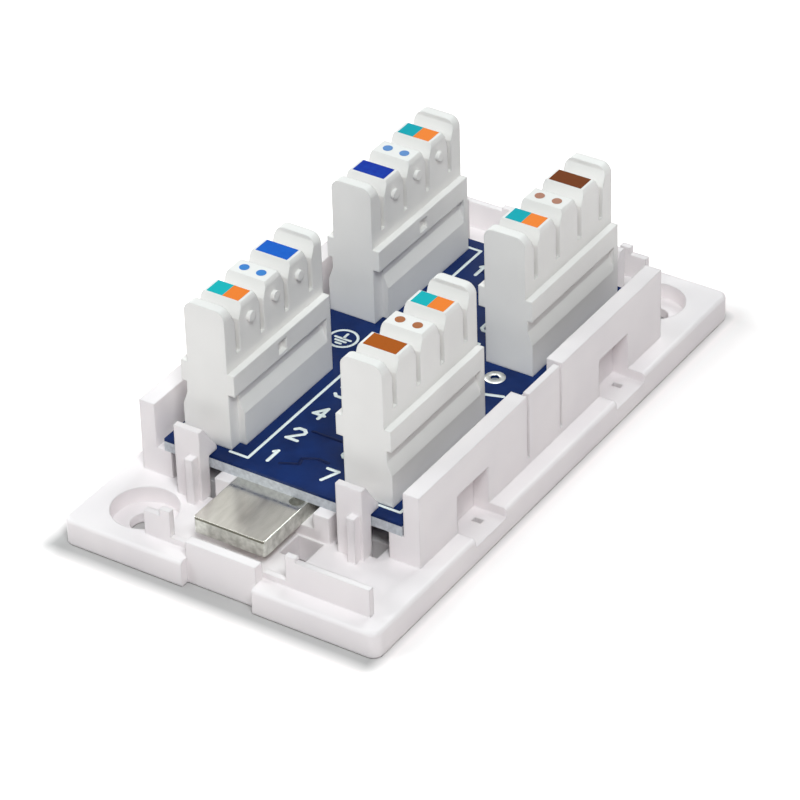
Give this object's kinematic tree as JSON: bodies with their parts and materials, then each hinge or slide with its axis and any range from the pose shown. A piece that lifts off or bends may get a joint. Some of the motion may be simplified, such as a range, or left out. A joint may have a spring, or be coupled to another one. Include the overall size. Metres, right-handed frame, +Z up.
{
  "type": "network cable junction box",
  "caption": "Open inline junction box: a moulded tray with a circuit board, punch-down blocks for joining two network cables, and a screen plate.",
  "frame": {"origin": "middle of the tray's underside", "axes": "+X across the tray, +Y along it from the front cable entry to the rear one, +Z up off the underside"},
  "size_m": [0.0404, 0.075, 0.0258],
  "materials": {
    "tray_plastic": "satin",
    "board_laminate": "gloss",
    "screen_metal": "brushed",
    "block_plastic": "satin",
    "contact_metal": "tinned"
  },
  "bodies": {
    "root": {"base_tray": "tray_plastic", "circuit_board": "board_laminate", "screen_plate": "screen_metal", "front_left_block": "block_plastic", "front_right_block": "block_plastic", "rear_left_block": "block_plastic", "rear_right_block": "block_plastic", "front_left_contact_1": "contact_metal", "front_left_contact_2": "contact_metal", "front_left_contact_3": "contact_metal", "front_left_contact_4": "contact_metal", "front_right_contact_1": "contact_metal", "front_right_contact_2": "contact_metal", "front_right_contact_3": "contact_metal", "front_right_contact_4": "contact_metal", "rear_left_contact_1": "contact_metal", "rear_left_contact_2": "contact_metal", "rear_left_contact_3": "contact_metal", "rear_left_contact_4": "contact_metal", "rear_right_contact_1": "contact_metal", "rear_right_contact_2": "contact_metal", "rear_right_contact_3": "contact_metal", "rear_right_contact_4": "contact_metal"}
  },
  "joints": []
}
